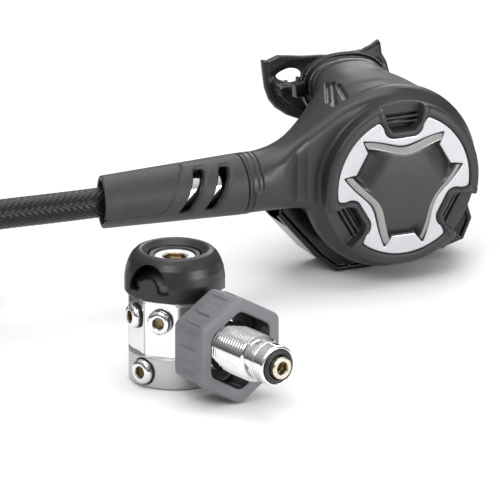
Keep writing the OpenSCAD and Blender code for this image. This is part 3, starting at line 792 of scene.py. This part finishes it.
# ------------------------------------------------------------------ DIN wheel and stud (local x runs out of the inlet)
HEX = [(math.sin(rad(60 * i)), math.cos(rad(60 * i))) for i in range(6)]


def hex_cut(y, z, rc):
    return sd_poly(y, z, [(a * rc, b * rc) for a, b in HEX])


PLUG = [(0, 13), (4.1, 13), (4.7, 13.6), (4.7, 19.75), (5.1, 20.2), (5.1, 20.75), (5.75, 20.75), (5.9, 21.0), (5.85, 21.7), (5.5, 22.4), (4.8, 22.95),
        (3.9, 23.25), (0, 23.3)]


def f_plug(x, y, z):
    r = np.sqrt(y * y + z * z)
    d = sd_poly(r, x, PLUG)
    th = np.where((x > 14) & (x < 19.4), 0.25 * np.abs(((x / 1.1) % 1) * 2 - 1), 0)
    d = d + th
    d = smax(d, -np.maximum(hex_cut(y, z, 2.75), 20.6 - x), 0.15)
    return smax(d, -np.maximum(r - 3.1 - (x - 23.3) * 1.0, 22.9 - x), 0.15)       # lead-in


PV, PQ = surface_nets(f_plug, (12.6, -6.4, -6.4), (23.9, 6.4, 6.4), 0.24)
V, Q, recess_shade_idx = [], [], []
pc = PV[PQ].mean(1)
# faces inside the hex sockets of the plugs: brass tone plus painted shade
recess_shade_mask = ((np.hypot(pc[:, 1], pc[:, 2]) < 2.85) & (pc[:, 0] < 23.15)).astype(np.int32)
for a, zz, dx in [(-43, 32.5, 0), (-88, 32.5, 0), (114, 32.5, 0), (-67, 7.6, 0.6), (93, 7.6, 0.6)]:
    aa = rad(a - 90)
    R = np.array([[cos(aa), -sin(aa), 0], [sin(aa), cos(aa), 0], [0, 0, 1]])
    Q.append(PQ + sum(len(q) for q in V))
    V.append((PV + [dx, 0, 0]) @ R.T + [0, 0, zz])
    recess_shade_idx.append(recess_shade_mask)
ob = make_obj("port_plug_heads", np.concatenate(V), np.concatenate(Q), ["chrome", "hex_recess_brown_shade"], "first_stage", ["port_plugs"])
ob.data.polygons.foreach_set("material_index", np.concatenate(recess_shade_idx))


def f_adj(x, y, z):
    r = np.sqrt(x * x + y * y)
    d = smax(smax(r - 9.8, np.abs(z - 56.75) - 1.95, 0.7), (r - 9.2) * 0.8 + z - 58.7, 0.4)
    d = smax(d, -np.maximum(hex_cut(x, y, 5.6), 56.0 - z), 0.2)
    d = smax(d, -np.maximum(r - 6.3 - (z - 58.7), 58.0 - z), 0.2)
    return d


ob = sdf_obj("adjuster_disc", f_adj, (-10.4, -10.4, 54.4), (10.4, 10.4, 59.2), 0.3, ["adjuster_silver", "hex_recess_brown_shade"], "adjuster", lambda V: V, ["adjuster"])
nrm, cen = face_data(ob)
# faces inside the hex socket of the adjuster: brown tone plus painted shade
ob.data.polygons.foreach_set("material_index", ((np.hypot(cen[:, 0], cen[:, 1]) < 5.75) & (cen[:, 2] < 58.3) & (cen[:, 2] > 55.5)).astype(np.int32))

RET = [(0, 13), (6.4, 13), (6.94, 13.6), (6.94, 70.1), (9.55, 70.15), (9.6, 70.5), (9.6, 77.9), (9.35, 78.6), (8.85, 79.0), (8.3, 79.0), (8.2, 78.7),
       (8.2, 77.6), (5.4, 77.6), (5.4, 80.2), (5.2, 80.6), (5.2, 82.0), (4.75, 82.5), (0, 82.5)]


def f_ret(x, y, z):
    r = np.sqrt(y * y + z * z)
    d = sd_poly(r, x, RET)
    d = smax(d, -np.maximum(np.abs(x - 71.9) - 0.25, 9.25 - r), 0.2)
    d = smax(d, -(r - 2.2), 0.2)
    d = smax(d, -np.maximum(hex_cut(y, z, 2.95), 79.4 - x), 0.15)
    return smax(d, -np.maximum(r - 3.3 - (x - 82.5), 81.9 - x), 0.15)


ob = sdf_obj("din_nose_bolt", f_ret, (12.5, -10.2, -10.2), (83.2, 10.2, 10.2), 0.3, ["chrome", "nickel", "hex_recess_brown_shade"], "first_stage", place_din, ["din_retainer"])
V0, Q0 = surface_nets(f_ret, (12.5, -10.2, -10.2), (83.2, 10.2, 10.2), 0.3)
pc = V0[Q0].mean(1)
pr = np.hypot(pc[:, 1], pc[:, 2])
mi = np.zeros(len(pc), np.int32)
# index 1: nickel tone on the end face; index 2: faces inside the hex socket, brown tone plus painted shade
mi[(pr < 8.0) & (pc[:, 0] > 77)] = 1
mi[(pr < 3.05) & (pc[:, 0] > 77)] = 2
if len(mi) == len(ob.data.polygons):
    ob.data.polygons.foreach_set("material_index", mi)


def hex2(y, z, rc, ro):
    return sd_poly(y, z, [(a * rc, b * rc) for a, b in HEX]) - ro


def f_wheel(x, y, z):
    o = hex2(y, z, 20.2, 5.0)
    taper = np.clip(36 - x, 0, 8) * 0.16
    d = smax(o + taper, x - 50.9, 2.0)
    d = smax(d, 28.1 - x, 1.4)
    cav = hex2(y, z, 14.2, 4.2) + (50.9 - x) * 0.02
    d = smax(d, -smax(cav, 37.1 - x, 1.0), 1.3)
    d = smax(d, -(np.sqrt(y * y + z * z) - 13.45), 0.4)
    # grip panels with ribs along the axis
    ang = (np.degrees(np.arctan2(z, y)) % 60) - 30
    R = np.sqrt(y * y + z * z)
    lat = R * np.sin(np.radians(ang))
    pan = smax(smax(np.abs(lat) - 8.6, np.abs(x - 38.2) - 7.6, 1.5), -(o + 0.85), 0.3)
    rib = np.minimum(np.abs(lat - 3.1) - 0.35, np.abs(lat + 3.1) - 0.35)
    pan = smax(pan, -rib, 0.6)
    d = smax(d, -pan, 0.6)
    return d


WV, WQ = surface_nets(f_wheel, (27, -24, -27), (52, 24, 27), 0.42)
# painted shade: the second material, black rubber, goes on the faces inside the hex cavity of the grey wheel
ob = make_obj("din_wheel_grip", place_din(WV), WQ, ["grey_rubber", "black_rubber"], "din_wheel", ["din_wheel"])
wc = WV[WQ].mean(1)
cavity_shade_dist = hex2(wc[:, 1], wc[:, 2], 14.2, 4.2)
ob.data.polygons.foreach_set("material_index", ((cavity_shade_dist < 0.45) & (wc[:, 0] < 50.2) & (wc[:, 0] > 28.6)).astype(np.int32))


def thread_stud():
    """Hollow stud with a real helical G5/8 thread (1.814 mm pitch), a flange and a nose."""
    na, pitch = 96, 1.814
    xs = list(np.arange(38.4, 64.6, 0.151))
    rows = [(28.6, 7.0, 0), (28.6, 12.9, 0), (29.1, 13.4, 0), (36.6, 13.4, 0), (37.0, 12.8, 0), (37.0, 10.6, 0), (38.3, 10.5, 0)]
    rows += [(x, None, 1) for x in xs]
    rows += [(64.8, 10.45, 0), (65.0, 9.9, 0), (65.25, 9.6, 0), (69.4, 9.6, 0), (69.9, 9.1, 0), (69.9, 7.0, 0)]
    V, F = [], []
    for x, r, th in rows:
        for k in range(na):
            a = 2 * math.pi * k / na
            rr = r
            if th:
                p = ((x - 38.4) / pitch - k / na) % 1.0
                t = abs(2 * p - 1)
                t = min(max((t - 0.06) / 0.86, 0), 1)
                depth = 1.02 * min(1, (x - 38.3) / 1.2, (64.9 - x) / 1.2 + 0.15)
                rr = 11.42 - 0.98 + depth * t * 0.98
                rr = min(rr, 11.42)
            V.append((x, rr * math.cos(a), rr * math.sin(a)))
    m = len(rows)
    for i in range(m - 1):
        for k in range(na):
            F.append((i * na + k, (i + 1) * na + k, (i + 1) * na + (k + 1) % na, i * na + (k + 1) % na))
    for k in range(na):     # bore
        F.append(((m - 1) * na + k, k, (k + 1) % na, (m - 1) * na + (k + 1) % na))
    return make_obj("din_stud_threaded", place_din(np.array(V)), np.array(F)[:, ::-1], "chrome", "din_wheel", ["din_stud"])


st = thread_stud()
st.data.set_sharp_from_angle(angle=rad(40))


# ------------------------------------------------------------------ hose
ROUTE = [(48, 95, 56), (25, 95, 56), (0, 95, 56), (-25, 95, 56.3), (-52, 95, 56.7), (-70, 95, 55.2), (-87, 95, 52.0), (-104, 95, 47.3),
         (-127, 99, 37.6), (-147, 111, 28.4), (-162, 128, 22.2), (-170, 148, 20.3)]
TAIL = [(-170, 148, 6.8), (-174, 167, 7.0), (-178, 186, 8.6), (-181.9, 203.8, 9.3)]
COIL_C, COIL_R, HD = (-104.0, 162.5), 67.5, 13.5


def catmull(P, n=10):
    P = [np.array(p, float) for p in P]
    out = []
    for i in range(len(P) - 1):
        a = P[i - 1] if i else 2 * P[0] - P[1]
        b, c = P[i], P[i + 1]
        e = P[i + 2] if i + 2 < len(P) else 2 * c - b
        for k in range(n):
            t = k / n
            out.append(0.5 * (2 * b + (c - a) * t + (2 * a - 5 * b + 4 * c - e) * t * t + (3 * b - a - 3 * c + e) * t ** 3))
    out.append(P[-1])
    return out


def hose_path():
    a0 = math.atan2(148 - COIL_C[1], -170 - COIL_C[0])
    ring = []
    for k in range(0, 73):
        s = k / 72 * 360
        f = min(s / 84.0, 1)
        z = 20.3 - 13.5 * (1 - math.cos(math.pi * f)) / 2
        a = a0 - rad(s)
        ring.append((COIL_C[0] + COIL_R * math.cos(a), COIL_C[1] + COIL_R * math.sin(a), z))
    pts = catmull(ROUTE + ring[2::3] + TAIL[1:], 8)
    P = np.array(pts)
    for _ in range(6):      # even out the spacing and the curvature
        P[1:-1] = 0.25 * P[:-2] + 0.5 * P[1:-1] + 0.25 * P[2:]
    seg = np.linalg.norm(np.diff(P, axis=0), axis=1)
    s = np.concatenate([[0], np.cumsum(seg)])
    n = int(s[-1] / 0.62)
    q = np.linspace(0, s[-1], n)
    P = np.stack([np.interp(q, s, P[:, i]) for i in range(3)], 1)
    for _ in range(40):
        P[1:-1] = 0.25 * P[:-2] + 0.5 * P[1:-1] + 0.25 * P[2:]
    return P, s[-1]


def build_hose():
    P, L = hose_path()
    T = np.gradient(P, axis=0)
    T /= np.linalg.norm(T, axis=1)[:, None]
    S = np.cross(np.array([0, 0, 1.0]), T)
    S /= np.linalg.norm(S, axis=1)[:, None]
    U = np.cross(T, S)
    seg = np.linalg.norm(np.diff(P, axis=0), axis=1)
    s = np.concatenate([[0], np.cumsum(seg)])
    na = 96
    a = np.arange(na) / na * 2 * np.pi
    N, lay = 16, 26.0         # strands each way, and the length of hose per half turn
    A, B = np.meshgrid(s, a, indexing="ij")
    p = B / (2 * np.pi) * N + A / lay * N / 2
    q = B / (2 * np.pi) * N - A / lay * N / 2
    ip, iq = np.floor(p), np.floor(q)
    fp, fq = p - ip, q - iq
    # two-over two-under weave of flat, rounded strands
    over = ((ip + iq) % 2) < 1
    hp = np.sqrt(np.clip(1 - (2 * np.abs(fp - 0.5)) ** 2.4, 0, 1))
    hq = np.sqrt(np.clip(1 - (2 * np.abs(fq - 0.5)) ** 2.4, 0, 1))
    wavep = 0.5 + 0.5 * np.cos(np.pi * (fq - 0.5)) * np.where(over, 1, -1)
    waveq = 0.5 - 0.5 * np.cos(np.pi * (fp - 0.5)) * np.where(over, 1, -1)
    h = np.maximum(hp * 0.55 + wavep * 0.5, hq * 0.55 + waveq * 0.5)
    r = HD / 2 + 0.32 - 0.85 + 0.85 * h
    V = P[:, None, :] + (S[:, None, :] * np.cos(a)[None, :, None] + U[:, None, :] * np.sin(a)[None, :, None]) * r[:, :, None]
    n = len(P)
    V = V.reshape(-1, 3)
    i = np.arange(n - 1)[:, None] * na
    k = np.arange(na)[None, :]
    k2 = (k + 1) % na
    F = np.stack([(i + k), (i + na + k), (i + na + k2), (i + k2)], -1).reshape(-1, 4)
    # end caps as quads to a centre line
    V = np.concatenate([V, P[:1], P[-1:]])
    c0, c1 = len(V) - 2, len(V) - 1
    caps = []
    for j in range(0, na, 2):
        caps.append((c0, j, (j + 1) % na, (j + 2) % na))
        e = (n - 1) * na
        caps.append((c1, e + (j + 2) % na, e + (j + 1) % na, e + j))
    F = np.concatenate([F, np.array(caps)])
    o = make_obj("hose_braided", V, F, "braid", "hose", ["hose_tube", "hose_coil", "hose_tail"])
    return o, P, L


hose, path, hose_len = build_hose()
print("hose length mm", round(hose_len, 1))

# ------------------------------------------------------------------ stage and light
fl = bpy.data.meshes.new("floor")
S = 6.0
fl.from_pydata([(-S, -S, 0), (S, -S, 0), (S, S, 0), (-S, S, 0)], [], [(0, 1, 2, 3)])
floor = bpy.data.objects.new("floor", fl)
bpy.context.scene.collection.objects.link(floor)
fm, nt, p = new_mat("floor_white")
co = coords(nt)
nt.links.new(colmix(nt, noise(nt, co, 3, 2), (0.86, 0.86, 0.86), (0.88, 0.88, 0.88)), p.inputs["Base Color"])
p.inputs["Roughness"].default_value = 0.9
fl.materials.append(fm)
floor.location.z = -0.0002

w = bpy.data.worlds.new("studio")
w.use_nodes = True
wn = w.node_tree
wt = wn.nodes.new("ShaderNodeTexCoord")
ws = wn.nodes.new("ShaderNodeSeparateXYZ")
wn.links.new(wt.outputs["Generated"], ws.inputs["Vector"])
wr = wn.nodes.new("ShaderNodeValToRGB")
wr.color_ramp.elements[0].position, wr.color_ramp.elements[1].position = 0.05, 0.80
wr.color_ramp.elements[0].color = (0.10, 0.10, 0.102, 1)
wr.color_ramp.elements[1].color = (1, 1, 1, 1)
wn.links.new(ws.outputs["Z"], wr.inputs["Fac"])
wn.links.new(wr.outputs["Color"], wn.nodes["Background"].inputs["Color"])
wn.nodes["Background"].inputs["Strength"].default_value = 0.75
bpy.context.scene.world = w


def area(name, loc, target, size, power, size_y=None):
    ld = bpy.data.lights.new(name, "AREA")
    ld.shape = "RECTANGLE"
    ld.size, ld.size_y = size, size_y or size
    ld.energy = power
    o = bpy.data.objects.new(name, ld)
    o.location = loc
    o.rotation_mode = "QUATERNION"
    o.rotation_quaternion = (Vector(target) - Vector(loc)).to_track_quat("-Z", "Y")
    bpy.context.scene.collection.objects.link(o)
    return o


area("key", (-0.75, -0.85, 1.25), (0.05, 0.03, 0.03), 0.8, 12)
area("front_box", (0.62, -0.95, 0.30), (0.15, 0.08, 0.05), 0.55, 6.5, 0.34)
area("top", (0.15, 0.25, 1.6), (0.08, 0.05, 0), 1.2, 11)
area("rim", (0.9, 1.2, 0.9), (0.1, 0.05, 0.05), 0.7, 6)

bpy.context.scene.view_settings.view_transform = "Standard"
bpy.context.scene.view_settings.look = "None"
bpy.context.scene.view_settings.exposure = 0.0
